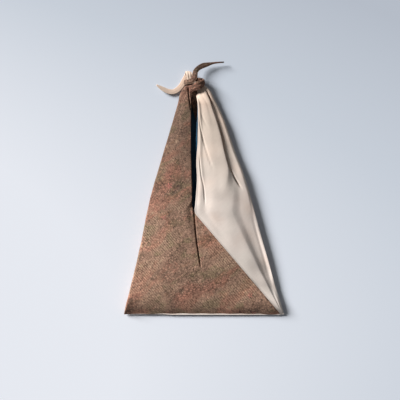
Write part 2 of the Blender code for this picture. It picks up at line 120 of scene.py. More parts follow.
def roundCurveThrough(places, values, at):
    # the same pieces with rounder slopes, for a strand that turns back on itself
    gap = np.diff(places)
    chord = np.diff(values) / gap
    inner = (chord[1:] * gap[:-1] + chord[:-1] * gap[1:]) / (gap[1:] + gap[:-1])
    slope = np.concatenate([chord[:1], inner, chord[-1:]])
    k = np.clip(np.searchsorted(places, at, side="right") - 1, 0, len(gap) - 1)
    w = (at - places[k]) / gap[k]
    return (values[k] + (values[k + 1] - values[k]) * w * w * (3 - 2 * w)
            + w * (1 - w) ** 2 * gap[k] * slope[k] + w * w * (w - 1) * gap[k] * slope[k + 1])


def softStep(value):
    # 0 below 0, 1 above 1, and 3 v squared - 2 v cubed between them
    value = np.clip(value, 0, 1)
    return value * value * (3 - 2 * value)


def bump(distance, reach):
    # a bell: 1 at distance 0, fading over reach
    return np.exp(-(distance / reach) ** 2)


def linePlaces(counts):
    # each column's place among the fold lines: 2.5 is half way from line 2 to line 3
    counts = np.array(counts)
    starts = np.cumsum(counts) - counts
    past = np.arange(counts.sum()) - np.repeat(starts, counts)
    place = np.repeat(np.arange(len(counts)), counts) + past / np.repeat(counts, counts)
    return np.append(place, len(counts))


def joinAcross(lines, counts):
    # joins each row's fold lines, as (row, line, coordinate), by cubic pieces that leave each line between
    # the directions of its two spans, at the speed of the shorter one; counts gives the columns of each span
    step = np.diff(lines, axis=1)
    length = np.linalg.norm(step, axis=2, keepdims=True) + 1e-9
    unit = step / length
    before, after = length[:, :-1], length[:, 1:]
    middle = (unit[:, :-1] * after + unit[:, 1:] * before) / (before + after) * np.minimum(before, after)
    slope = np.concatenate([step[:, :1], middle, step[:, -1:]], axis=1)
    place = linePlaces(counts)[:-1]
    k = place.astype(int)
    w = (place - k)[None, :, None]
    start, end = lines[:, k], lines[:, k + 1]
    curve = (start + (end - start) * w * w * (3 - 2 * w)
             + slope[:, k] * w * (1 - w) ** 2 + slope[:, k + 1] * w * w * (w - 1))
    return np.concatenate([curve, lines[:, -1:]], axis=1)


def edgesAt(y):
    # the left and the right side fold: the base width times each outline's curve
    share = y / neckHeight
    left = bag["baseWidth"] * curveThrough(leftEdge, share)
    right = bag["baseWidth"] * curveThrough(rightEdge, share)
    return left, right


def frontMiddle(y):
    # the slanting seam from the right corner up to the slit's foot, then the middle of the slit
    right = edgesAt(np.zeros(1))[1][0] - bag["cornerWidth"]
    seam = right + (bag["knotAcross"] - right) * (y / bag["slitFoot"])
    aboveFoot = (y - bag["slitFoot"]) / bag["slitWidth"]
    slit = bag["knotAcross"] - bag["slitLean"] * bag["slitWidth"] * softStep(aboveFoot)
    return np.where(y < bag["slitFoot"], seam, slit)


def backMiddle(y):
    # the back's seam starts in the left corner, and its slit leans half way to the knot's middle
    left = edgesAt(np.zeros(1))[0][0] + bag["cornerWidth"]
    foot = bag["knotAcross"] + bag["backSlitShift"]
    seam = left + (foot - left) * (y / bag["slitFoot"])
    closing = softStep((y - bag["slitFoot"]) / (gatherHeight - bag["slitFoot"]))
    return np.where(y < bag["slitFoot"], seam, foot - 0.5 * bag["backSlitShift"] * closing)


def opening(y, width, seam):
    # the gap between the two cloths: the seam's own, and above the slit's foot a share of the slit's width
    share = (y - bag["slitFoot"]) / (neckHeight - bag["slitFoot"])
    return seam + width * curveThrough(slitOpening, share) * (y > bag["slitFoot"])


def aboveSlitFoot(y):
    # 0 at the slit's foot and below, 1 from three slit widths above it
    return softStep((y - bag["slitFoot"]) / (3 * bag["slitWidth"]))


def crownAt(y):
    # height of the front's middle
    return curveThrough(crownShape, y / neckHeight) * bag["thickness"]


def seamLift(y):
    # the lift at the bottom seam times (1 - y / its reach) squared
    return bag["seamLift"] * np.clip(1 - y / bag["seamLiftReach"], 0, 1) ** 2


def dome(x, y):
    # the smooth front: crown times (1 - (1 - shoulder) * |place across| ** flatness), where the place runs
    # from -1 to 1 between the side folds
    left, right = edgesAt(y)
    offMiddle = np.clip(np.abs(2 * (x - left) / (right - left) - 1), 0, 1)
    upward = softStep(y / (bag["levelReach"] * bag["slitFoot"]))
    shoulder = bag["bottomShoulder"] + (bag["shoulder"] - bag["bottomShoulder"]) * upward
    flatness = np.where(2 * x < left + right, bag["leftFlatness"], bag["rightFlatness"])
    return crownAt(y) * (1 - (1 - shoulder) * offMiddle ** flatness)


def foldHeight(y, side):
    # half way up the bottom seam, then a share of the crown: side is -1 for the left fold, 1 for the right
    level = (bag["bottomShoulder"] * crownAt(y) + seamLift(y)) / 2
    share = bag["leftFoldShare"] if side < 0 else curveThrough(rightFoldShare, y / neckHeight)
    return level + (share * crownAt(y) - level) * softStep(y / (bag["levelReach"] * bag["slitFoot"]))


def reachIn(width, most):
    # the most that a fold may take, less where the width runs out: most * width / (width + 2 * most)
    return most * width / (width + 2 * most)


def backLines(y, fold, end):
    # the underside: rounded in from the side fold, down to the table, and flat to the back's middle
    toward = np.sign(end - fold)
    width = np.abs(end - fold)
    rounded = reachIn(width, bag["foldRadius"])
    flat = rounded + reachIn(width, bag["curlReach"])
    floor = seamLift(y)
    return [(fold + toward * rounded, floor + 0.3 * (foldHeight(y, -toward[0]) - floor)),
            (fold + toward * flat, floor),
            (fold + toward * (flat + 0.5 * (width - flat)), floor),
            (end, floor)]


# Strand paths from the gather to the tail's tip: across and along in strand widths from the knot's middle,
# level in layers, shares of the strand's width and thickness, and the face that is up, 0 where it turns over
patternedPath = (
    (-1.62, -3.60, 1.90, 2.10, 2.60, 1),
    (-1.36, -2.05, 1.85, 1.95, 2.20, 1),
    (-1.02, -1.36, 2.20, 1.58, 1.50, 1),
    (-0.64, -1.16, 2.75, 1.22, 1.10, 1),
    (-0.20, -1.02, 3.25, 1.02, 0.95, 1),
    (0.58, -0.64, 3.65, 1.26, 0.85, 1),
    (1.38, -0.16, 2.50, 0.95, 0.90, 0),
    (0.71, 0.18, 0.90, 0.90, 0.90, -1),
    (-0.32, 0.12, 0.75, 0.98, 0.90, -1),
    (-1.14, -0.14, 1.00, 1.02, 0.90, -1),
    (-1.54, -0.16, 1.95, 0.85, 0.95, 0),
    (-1.10, -0.12, 3.10, 0.76, 0.90, 1),
    (-0.47, 0.04, 3.60, 0.82, 0.90, 1),
    (-0.09, 0.50, 3.50, 0.90, 0.92, 1),
    (0.02, 1.08, 3.05, 0.84, 0.85, 1),
    (0.12, 1.58, 2.50, 0.80, 0.72, 1),
    (0.55, 2.10, 2.00, 0.76, 0.62, 1),
    (1.23, 2.50, 1.70, 0.82, 0.52, 1),
    (1.95, 2.70, 1.50, 0.66, 0.45, 1),
    (2.75, 2.90, 1.40, 0.36, 0.40, 1),
    (3.60, 3.02, 1.35, 0.26, 0.37, 1),
    (4.58, 3.08, 1.30, 0.21, 0.35, 1),
)
plainPath = (
    (1.82, -3.60, 1.90, 3.00, 2.60, 1),
    (1.43, -2.05, 1.85, 2.45, 2.30, 1),
    (1.02, -1.34, 1.75, 1.75, 1.45, 1),
    (0.66, -1.00, 1.75, 1.10, 1.08, 1),
    (0.34, -0.70, 1.80, 0.92, 0.95, 1),
    (-0.40, -0.10, 1.92, 0.88, 0.90, 1),
    (-0.76, 0.58, 2.20, 1.00, 0.90, 1),
    (-0.88, 1.14, 2.35, 0.98, 0.80, 1),
    (-1.04, 1.50, 1.70, 0.95, 0.80, 0),
    (-1.22, 1.10, 0.85, 0.84, 0.65, -1),
    (-1.66, 0.32, 0.45, 0.80, 0.52, -1),
    (-2.15, -0.58, 0.42, 0.84, 0.46, -1),
    (-2.75, -1.20, 0.50, 0.84, 0.43, -1),
    (-3.40, -1.53, 0.58, 0.78, 0.41, -1),
    (-4.15, -1.48, 0.70, 0.76, 0.39, -1),
    (-5.10, -1.06, 0.92, 0.64, 0.37, -1),
    (-6.05, -0.48, 1.15, 0.24, 0.34, -1),
)


def carriedFrame(ahead):
    # turns each direction's frame on from the last one by the smallest turn between the two directions
    up = np.array([0.0, 0.0, 1.0])
    ups = []
    for direction in ahead:
        up = up - direction * up.dot(direction)
        up = up / np.linalg.norm(up)
        ups.append(up)
    ups = np.array(ups)
    return np.cross(ahead, ups), ups


def strandStations(path, step):
    # centre, half width, half thickness, side, up and distance along the path, a step apart
    table = np.array(path)
    points = np.stack([bag["knotAcross"] + bag["strandWidth"] * table[:, 0],
                       bag["knotHeight"] + bag["strandWidth"] * table[:, 1],
                       bag["layerPitch"] * table[:, 2]], axis=1)
    along = np.concatenate([[0], np.cumsum(np.linalg.norm(np.diff(points, axis=0), axis=1))])
    at = np.linspace(0, along[-1], int(round(along[-1] / step)) + 1)
    centre = np.stack([roundCurveThrough(along, points[:, k], at) for k in range(3)], axis=1)
    halfWidth = 0.5 * bag["strandWidth"] * curveThrough(list(zip(along, table[:, 3])), at)
    halfThickness = 0.5 * bag["strandThickness"] * curveThrough(list(zip(along, table[:, 4])), at)
    ahead = np.gradient(centre, axis=0)
    ahead /= np.linalg.norm(ahead, axis=1, keepdims=True)
    side, up = carriedFrame(ahead)
    # where the path says which face is up, the strand rolls to lie level, and between such places smoothly
    face = np.interp(at, along, table[:, 5])
    level = np.array([0, 0, 1.0]) - ahead[:, 2:] * ahead
    clear = (np.abs(face) > 0.99) & (np.linalg.norm(level, axis=1) > 0.6)
    level *= np.sign(face)[:, None]
    roll = np.arctan2(np.sum(level * side, axis=1), np.sum(level * up, axis=1))
    roll = np.interp(np.arange(len(roll)), np.flatnonzero(clear), np.unwrap(roll[clear]))
    for _ in range(12):
        roll[1:-1] = (roll[:-2] + 2 * roll[1:-1] + roll[2:]) / 4
    roll = roll[:, None]
    turnedSide = side * np.cos(roll) - up * np.sin(roll)
    turnedUp = up * np.cos(roll) + side * np.sin(roll)
    return centre, halfWidth, halfThickness, turnedSide, turnedUp, at


def strandSection(path, step, turn, handed):
    # a flattened tube, open along one side: centre + side * (round end + flat) + up * round end
    centre, halfWidth, halfThickness, side, up, at = strandStations(path, step)
    free = np.arcsin(bag["edgeGap"] / halfThickness)[:, None]
    angle = free + turn * (np.pi - free)
    flat = np.clip(1.3 * np.cos(angle), -1, 1) * (halfWidth - halfThickness)[:, None]
    sideways = handed * (halfThickness[:, None] * np.cos(angle) + flat)
    upwards = halfThickness[:, None] * np.sin(angle)
    points = centre[:, None] + sideways[..., None] * side[:, None] + upwards[..., None] * up[:, None]
    return centre, points, at


def sectionRows(linesAt, y, counts):
    # one section of the bag for each height
    lines = np.stack([np.stack(line, axis=-1) for line in linesAt(y)], axis=1)
    section = joinAcross(lines, counts)
    height = np.broadcast_to(y[:, None], section.shape[:2])
    return np.stack([section[..., 0], height, section[..., 1]], axis=-1)


def clothGrid(linesAt, path, angles, handed, cloth):
    # rows up the bag by fold lines, then along the strand by its section, blended from gather to neck
    counts = cloth["counts"]
    turn = np.interp(linePlaces(counts), np.arange(len(angles)), angles)
    y = np.concatenate([bag["closeTop"] * np.linspace(0, 1, bag["closeRows"])[:-1] ** bag["closePacking"],
                        np.linspace(bag["closeTop"], gatherHeight, cloth["rows"])[:-1]])
    body = sectionRows(linesAt, y, counts)
    centre, strand, at = strandSection(path, cloth["step"], turn, handed)
    past = np.argmax(centre[:, 1] > neckHeight)
    low = np.minimum(centre[:past, 1], neckHeight)
    mix = softStep((low - gatherHeight) / (neckHeight - gatherHeight))[:, None, None]
    strand[:past] = sectionRows(linesAt, low, counts) * (1 - mix) + strand[:past] * mix
    grid = np.concatenate([body, strand])
    along = np.concatenate([y, gatherHeight + at])
    return grid, turn, along


def gridNormals(grid, facing):
    # the cross product of the directions across and up the cloth
    across = np.gradient(grid, axis=1)
    upward = np.gradient(grid, axis=0)
    normal = np.cross(across, upward) * facing
    return normal / (np.linalg.norm(normal, axis=2, keepdims=True) + 1e-12)


# Cloth folds
def creaseDepth(x, y, crease):
    # a valley along a curve x = f(y): depth times a bell whose two sides have their own reach, faded at both
    # ends of the curve
    depth, leftReach, rightReach, fade, points = crease
    places = sorted((p[1], p[0]) for p in points)
    distance = x - curveThrough(places, y)
    reach = np.where(distance < 0, leftReach, rightReach)
    ends = softStep((y - places[0][0]) / fade) * softStep((places[-1][0] - y) / fade)
    return depth * ends * bump(distance, reach)


def drape(x, y, seed, size, height):
    # soft unevenness: a sum of sine waves in random directions
    rng = np.random.default_rng(seed)
    total = np.zeros_like(x)
    waves = 10
    for _ in range(waves):
        heading = rng.uniform(0, np.pi)
        wave = 2 * np.pi / (size * rng.uniform(0.6, 1.7))
        total += np.sin(wave * (x * np.cos(heading) + y * np.sin(heading)) + rng.uniform(0, 6.28))
    return height * total / np.sqrt(waves)


def gathers(turn, along, cloth):
    # ridges that run along the cloth: round tops and sharp valleys, |sin| ** 0.8 minus its mean, drifting a
    # little, growing towards the gather, and lower in the knot and on the back
    drift = 0.35 * np.sin(along / 0.045 + cloth["ridgePhase"])[:, None]
    angle = np.pi * cloth["ridges"] * turn[None, :] / 2 + drift + cloth["ridgePhase"]
    ridges = np.abs(np.sin(angle)) ** 0.8 - 0.66
    inKnot = along > gatherHeight + cloth["ridgeFull"]
    tight = softStep((along - bag["ridgesFrom"]) / bag["ridgesGrow"])[:, None]
    tight = tight * np.where(inKnot, cloth["ridgeInKnot"], 1)[:, None]
    return cloth["ridgeHeight"] * tight * ridges * np.where(turn < 1.15, 1, 0.5)


def frontShare(turn):
    # 1 on the front, falling to 0 at the side fold, where turn is 1
    return softStep((1 - turn) / 0.12)


# Meshes from grids
def gridObject(name, grid, facing, uv, thickness):
    # one quad between each four neighbouring points of the grid, then a wall on the inner side
    rows, columns = grid.shape[:2]
    index = np.arange(rows * columns).reshape(rows, columns)
    quads = np.stack([index[:-1, :-1], index[:-1, 1:], index[1:, 1:], index[1:, :-1]], axis=-1)
    quads = quads.reshape(-1, 4)
    if facing < 0:
        quads = quads[:, ::-1]
    points = grid.reshape(-1, 3) + np.array([middleAcross, bottomAlong, 0])
    mesh = bpy.data.meshes.new(name)
    mesh.vertices.add(len(points))
    mesh.vertices.foreach_set("co", points.astype(np.float32).ravel())
    mesh.loops.add(quads.size)
    mesh.loops.foreach_set("vertex_index", quads.astype(np.int32).ravel())
    mesh.polygons.add(len(quads))
    mesh.polygons.foreach_set("loop_start", (np.arange(len(quads)) * 4).astype(np.int32))
    mesh.update(calc_edges=True)
    layer = mesh.uv_layers.new(name="clothMap")
    layer.data.foreach_set("uv", uv.reshape(-1, 2)[quads.ravel()].astype(np.float32).ravel())
    mesh.shade_smooth()
    piece = bpy.data.objects.new(name, mesh)
    bpy.context.collection.objects.link(piece)
    wall = piece.modifiers.new("wall", "SOLIDIFY")
    wall.thickness = thickness
    wall.offset = -1
    return piece


def clothMap(grid, foldColumn, along, foldX):
    # flat coordinates of the cloth: distance along each row from the side fold, and distance up the cloth
    step = np.linalg.norm(np.diff(grid, axis=1), axis=2)
    length = np.concatenate([np.zeros((len(grid), 1)), np.cumsum(step, axis=1)], axis=1)
    across = length[:, foldColumn:foldColumn + 1] - length
    return np.stack([foldX[:, None] + across, np.broadcast_to(along[:, None], across.shape)], axis=-1)


def dress(piece, material, nodeName=None):
    # a piece's material and body, and the hidden solid that it stands for
    piece.data.materials.append(material)
    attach(piece, "root")
    if nodeName:
        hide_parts(nodeName)


# Materials
class Nodes:
    # a short way to add and link shader nodes; in0, in1 and so on name a socket by its number
    def __init__(self, name):
        self.material = bpy.data.materials.new(name)
        self.material.use_nodes = True
        self.tree = self.material.node_tree
        self.shader = self.tree.nodes["Principled BSDF"]

    def feed(self, socket, value):
        # links a node's output, or sets a plain value
        if isinstance(value, bpy.types.NodeSocket):
            self.tree.links.new(value, socket)
        else:
            socket.default_value = value

    def add(self, kind, settings=None, **inputs):
        node = self.tree.nodes.new(kind)
        for key, value in (settings or {}).items():
            setattr(node, key, value)
        for key, value in inputs.items():
            socket = int(key[2:]) if key.startswith("in") else key.replace("_", " ")
            self.feed(node.inputs[socket], value)
        return node

    def flatCloth(self):
        # the cloth's own flat coordinates, in metres
        return self.add("ShaderNodeUVMap", {"uv_map": "clothMap"}).outputs[0]

    def mapping(self, where, **how):
        return self.add("ShaderNodeMapping", Vector=where, **how).outputs[0]

    def math(self, how, *values):
        inputs = {f"in{k}": value for k, value in enumerate(values)}
        return self.add("ShaderNodeMath", {"operation": how}, **inputs).outputs[0]

    def mix(self, factor, first, second, how="MIX"):
        node = self.add("ShaderNodeMix", {"data_type": "RGBA", "blend_type": how})
        self.feed(node.inputs[0], factor)
        self.feed(node.inputs[6], first)
        self.feed(node.inputs[7], second)
        return node.outputs[2]

    def dye(self, amount, colour, shade):
        # (1 - amount) * colour + amount * shade
        return self.mix(amount, colour, shade + (1,))

    def noise(self, where, scale, detail, roughness, distortion=0.0):
        return self.add("ShaderNodeTexNoise", Vector=where, Scale=scale, Detail=detail, Roughness=roughness,
                        Distortion=distortion).outputs[0]

    def ramp(self, value, stops):
        # straight pieces between the stops, each a place with a colour or a grey
        node = self.add("ShaderNodeValToRGB", Fac=value)
        elements = node.color_ramp.elements
        while len(elements) < len(stops):
            elements.new(0.5)
        for element, (place, colour) in zip(elements, stops):
            element.position = place
            element.color = (*colour, 1) if isinstance(colour, tuple) else (colour, colour, colour, 1)
        return node.outputs[0]

    def weave(self, where, pitch):
        # plain weave: one thread up and one down, from the product of two sine waves
        apart = self.add("ShaderNodeSeparateXYZ", Vector=where)
        turns = 2 * np.pi / pitch
        weft = self.math("SINE", self.math("MULTIPLY", apart.outputs[0], turns))
        warp = self.math("SINE", self.math("MULTIPLY", apart.outputs[1], turns))
        return self.math("MULTIPLY", weft, warp)

    def finish(self, colour, height, cloth):
        # the cloth's colour, its relief, and the numbers that are the same all over it
        relief = self.add("ShaderNodeBump", Height=height, Strength=cloth["relief"], Distance=cloth["depth"])
        self.feed(self.shader.inputs["Base Color"], colour)
        self.feed(self.shader.inputs["Normal"], relief.outputs[0])
        for socket, value in cloth["sockets"].items():
            self.shader.inputs[socket].default_value = value
        return self.material


def linear(red, green, blue):
    # a screen colour, 0 to 255, as the linear colour that the shaders take
    value = np.array([red, green, blue]) / 255
    value = np.where(value < 0.04045, value / 12.92, ((value + 0.055) / 1.055) ** 2.4)
    return tuple(float(v) for v in value)


printColours = {
    "ground": linear(160, 126, 106),
    "olive": linear(142, 120, 94),
    "rust": linear(160, 120, 96),
    "coral": linear(184, 120, 100),
    "pink": linear(206, 116, 112),
    "mauve": linear(142, 108, 98),
    "dark": linear(74, 58, 48),
    "pale": linear(196, 168, 138),
}
printCloth = {
    "threadTurn": -0.72,  # the threads run along the slanting seam
    "fieldTurn": -0.60,  # the fields of the print are drawn out along the threads that rise to the right
    "fieldStretch": 1.9,
    "fieldScale": 11,
    "cloudScale": 8,
    "waveScale": 58,
    "waveFieldScale": 8,
    "scallopScale": 150,
    "dotScale": 235,
    "fineScale": 360,
    "weavePitch": 0.0011,
    "weaveShare": 0.35,
    "crinkleScale": 160,
    "relief": 0.35,
    "depth": 0.0006,
    "sockets": {"Roughness": 0.9, "Specular IOR Level": 0.25, "Sheen Weight": 0.05, "Sheen Roughness": 0.5},
}
# blossoms: scale of their scatter, size, petals, share of the cells, colour and strength
blossomKinds = (
    (30, 0.0085, 5, 0.12, "pink", 0.42),
    (48, 0.0052, 4, 0.30, "olive", 0.50),
    (62, 0.0038, 5, 0.34, "pale", 0.36),
)


def blossoms(nodes, where, scale, size, petals, share):
    # in a share of the cells of a loose scatter: inside the edge size * (1 + 0.3 * cos(petals * bearing))
    scatter = nodes.add("ShaderNodeTexVoronoi", Vector=where, Scale=scale, Randomness=0.85)
    middle = nodes.add("ShaderNodeVectorMath", {"operation": "SUBTRACT"}, in0=where,
                       in1=scatter.outputs["Position"]).outputs[0]
    apart = nodes.add("ShaderNodeSeparateXYZ", Vector=middle)
    bearing = nodes.math("ARCTAN2", apart.outputs[1], apart.outputs[0])
    lobes = nodes.math("MULTIPLY", nodes.math("COSINE", nodes.math("MULTIPLY", bearing, petals)), 0.30)
    edge = nodes.math("MULTIPLY", nodes.math("ADD", lobes, 1.0), size)
    away = nodes.add("ShaderNodeVectorMath", {"operation": "LENGTH"}, in0=middle).outputs["Value"]
    inside = nodes.math("SUBTRACT", edge, away)
    soft = nodes.add("ShaderNodeMapRange", Value=inside, in1=-0.0004, in2=0.0009, in3=0.0, in4=1.0)
    draw = nodes.add("ShaderNodeSeparateColor", in0=scatter.outputs["Color"]).outputs[0]
    chosen = nodes.ramp(draw, [(share, 1.0), (share + 0.01, 0.0)])
    return nodes.math("MULTIPLY", soft.outputs[0], chosen)


def patternedMaterial():
    # small all-over print on brown: drifting fields of colour, coral clouds, wave bands, scallops, loose
    # blossoms and fine dots
    nodes = Nodes("patternedCloth")
    flat = nodes.flatCloth()
    where = nodes.mapping(flat, Rotation=(0, 0, printCloth["threadTurn"]))
    turned = nodes.mapping(flat, Rotation=(0, 0, printCloth["fieldTurn"]))
    slanted = nodes.mapping(turned, Scale=(1, printCloth["fieldStretch"], 1))

    fields = nodes.noise(slanted, printCloth["fieldScale"], 4, 0.55, 0.5)
    colour = nodes.ramp(fields, [(0.26, printColours["mauve"]), (0.38, printColours["olive"]),
                                 (0.46, printColours["ground"]), (0.56, printColours["ground"]),
                                 (0.66, printColours["rust"]), (0.78, printColours["ground"])])

    # coral clouds with ragged edges
    aside = nodes.mapping(slanted, Location=(3.1, 1.7, 0))
    clouds = nodes.noise(aside, printCloth["cloudScale"], 5, 0.66, 0.5)
    amount = nodes.ramp(clouds, [(0.50, 0.0), (0.56, 0.34), (0.66, 0.60)])
    colour = nodes.dye(amount, colour, printColours["coral"])

    # pale and dark wave bands fill some fields
    waves = nodes.add("ShaderNodeTexWave", {"wave_type": "BANDS", "bands_direction": "X"}, Vector=where,
                      Scale=printCloth["waveScale"], Distortion=4.5, Detail=2.0, Detail_Scale=2.0).outputs[0]
    aside = nodes.mapping(slanted, Location=(0.4, 5.2, 0))
    waveField = nodes.noise(aside, printCloth["waveFieldScale"], 3, 0.5)
    amount = nodes.math("MULTIPLY", nodes.ramp(waves, [(0.45, 0.0), (0.70, 1.0)]),
                        nodes.ramp(waveField, [(0.50, 0.0), (0.58, 0.32)]))
    colour = nodes.dye(amount, colour, printColours["pale"])
    amount = nodes.math("MULTIPLY", nodes.ramp(waves, [(0.10, 1.0), (0.35, 0.0)]),
                        nodes.ramp(waveField, [(0.50, 0.0), (0.58, 0.42)]))
    colour = nodes.dye(amount, colour, printColours["dark"])

    # scallops: dark outlines of round cells, mostly where the waves are not
    cells = nodes.add("ShaderNodeTexVoronoi", {"feature": "DISTANCE_TO_EDGE"}, Vector=where,
                      Scale=printCloth["scallopScale"], Randomness=0.8)
    amount = nodes.math("MULTIPLY", nodes.ramp(cells.outputs["Distance"], [(0.04, 1.0), (0.16, 0.0)]),
                        nodes.ramp(waveField, [(0.42, 0.62), (0.54, 0.18)]))
    colour = nodes.dye(amount, colour, printColours["dark"])

    for scale, size, petals, share, tint, strength in blossomKinds:
        amount = nodes.math("MULTIPLY", blossoms(nodes, where, scale, size, petals, share), strength)
        colour = nodes.dye(amount, colour, printColours[tint])

    # the dotted ground: dark dots and pale dots in fine irregular rows
    dots = nodes.add("ShaderNodeTexVoronoi", Vector=where, Scale=printCloth["dotScale"], Randomness=0.9)
    shade = nodes.add("ShaderNodeSeparateColor", in0=dots.outputs["Color"]).outputs[0]
    grain = nodes.ramp(shade, [(0.0, 0.42), (0.35, 0.86), (0.65, 1.12), (1.0, 1.44)])
    within = nodes.ramp(dots.outputs["Distance"], [(0.30, 1.0), (0.62, 0.35)])
    colour = nodes.mix(within, colour, nodes.mix(1.0, colour, grain, "MULTIPLY"))
    fine = nodes.noise(where, printCloth["fineScale"], 2, 0.6)
    colour = nodes.mix(1.0, colour, nodes.ramp(fine, [(0.28, 0.64), (0.72, 1.34)]), "MULTIPLY")

    # painted shade: the colour darkens up the horn and is darkest in the tail
    upward = nodes.add("ShaderNodeSeparateXYZ", Vector=flat).outputs[1]
    paintedHornShade = nodes.ramp(upward, [(0.06, 1.06), (0.22, 0.94), (0.44, 0.56), (0.58, 0.48), (0.64, 0.66),
                                 (0.73, 0.60), (0.80, 0.32)])
    colour = nodes.mix(1.0, colour, paintedHornShade, "MULTIPLY")

    weave = nodes.math("MULTIPLY", nodes.weave(where, printCloth["weavePitch"]), printCloth["weaveShare"])
    height = nodes.math("ADD", weave, nodes.noise(where, printCloth["crinkleScale"], 3, 0.6))
    return nodes.finish(colour, height, printCloth)


plainCloth = {
    "base": linear(231, 217, 207),
    "warm": linear(233, 214, 201),
    "cool": linear(226, 215, 205),
    "threadTurn": -0.72,
    "driftScale": 11,
    "slubStretch": (9, 190, 1),
    "slubScale": 4,
    "weavePitch": 0.0012,
    "weaveShare": 0.18,
    "crinkleScale": 75,
    "relief": 0.30,
    "depth": 0.0009,
    "sockets": {"Roughness": 0.92, "Specular IOR Level": 0.2},
}


def plainMaterial():
    # undyed cloth: faint drifts of tint, slubs along the threads and a plain weave
    nodes = Nodes("plainCloth")
    flat = nodes.flatCloth()
    where = nodes.mapping(flat, Rotation=(0, 0, plainCloth["threadTurn"]))
    drift = nodes.noise(flat, plainCloth["driftScale"], 3, 0.5)
    colour = nodes.ramp(drift, [(0.32, plainCloth["cool"]), (0.5, plainCloth["base"]),
                                (0.68, plainCloth["warm"])])
    stretched = nodes.mapping(where, Scale=plainCloth["slubStretch"])
    slubs = nodes.noise(stretched, plainCloth["slubScale"], 2, 0.6)
    colour = nodes.mix(1.0, colour, nodes.ramp(slubs, [(0.3, 0.95), (0.7, 1.03)]), "MULTIPLY")
    # the cloth is a little warmer and darker towards the horn
    upward = nodes.add("ShaderNodeSeparateXYZ", Vector=flat).outputs[1]
    warmerDarkerUpward = nodes.ramp(upward, [(0.28, (1.0, 1.0, 1.0)), (0.46, (0.90, 0.86, 0.81)),
                                  (0.66, (0.90, 0.80, 0.71))])
    colour = nodes.mix(1.0, colour, warmerDarkerUpward, "MULTIPLY")
    weave = nodes.math("MULTIPLY", nodes.weave(where, plainCloth["weavePitch"]), plainCloth["weaveShare"])
    height = nodes.math("ADD", weave, nodes.noise(flat, plainCloth["crinkleScale"], 4, 0.55))
    return nodes.finish(colour, height, plainCloth)


liningCloth = {
    "deep": linear(16, 76, 106),
    "light": linear(26, 98, 132),
    "driftScale": 25,
    "weavePitch": 0.0008,
    "weaveShare": 0.2,
    "crinkleScale": 90,
    "relief": 0.25,
    "depth": 0.0006,
    "sockets": {"Roughness": 0.55, "Sheen Weight": 0.15},
}


def liningMaterial():
    # smooth teal cloth with a fine weave and a soft shine
    nodes = Nodes("liningCloth")
    flat = nodes.flatCloth()
    drift = nodes.noise(flat, liningCloth["driftScale"], 3, 0.5)
    colour = nodes.ramp(drift, [(0.3, liningCloth["deep"]), (0.7, liningCloth["light"])])
    weave = nodes.math("MULTIPLY", nodes.weave(flat, liningCloth["weavePitch"]), liningCloth["weaveShare"])
    height = nodes.math("ADD", weave, nodes.noise(flat, liningCloth["crinkleScale"], 2, 0.5))
    return nodes.finish(colour, height, liningCloth)


# The patterned cloth: left front, left horn and the strip of the back beside the left fold
patterned = {
    "counts": (20, 26, 18, 14, 12, 12, 10, 10, 10, 8, 10),  # columns of each span between the fold lines
    "rows": 128,
    "step": 0.0021,  # between the rows of its strand
    "creaseOff": 0.010,  # how far left of the slit's foot the crease starts
    "creaseSlant": 0.20,  # and how far right it moves for each metre down
    "ridgeOff": 0.012,  # from the crease to the ridge beside it
    "tuck": 0.36,  # how far the front edge turns down in the slit, as a share of the crown
    "drapeSeed": 3,
    "drapeSize": 0.060,
    "drapeHeight": 0.0005,
    "drapeTop": 0.60,
    "drapeFade": 0.04,
    "neckCreaseTop": 0.08,  # past the gather, up to where the neck's crease may reach
    "ridges": 7,
    "ridgePhase": 0.4,
    "ridgeHeight": 0.0011,
    "ridgeFull": 0.11,  # past the gather, up to where the ridges have their full height
    "ridgeInKnot": 0.5,
}
patternedAngles = (0, 0.10, 0.20, 0.30, 0.45, 0.63, 0.82, 1, 1.2, 1.4, 1.7, 2)
# depth of the hollow beside the seam: (share of the slit foot's height, share of the body's thickness)
seamHollow = ((0.4, 0), (0.6, 0.02), (0.8, 0.04), (0.95, 0.05), (1.3, 0.12))
# creases of the left front: depth, left reach, right reach, fade and the (x, y) points, top down
slitCrease = (0.0100, 0.0016, 0.0013, 0.018,
              ((-0.0262, 0.284), (-0.0234, 0.247), (-0.0182, 0.198), (-0.0142, 0.171), (-0.0068, 0.124)))
neckCrease = (0.0075, 0.0014, 0.0012, 0.010,
              ((-0.0422, 0.622), (-0.0413, 0.606), (-0.0402, 0.5965), (-0.0382, 0.5777), (-0.0352, 0.559),
               (-0.0335, 0.543)))


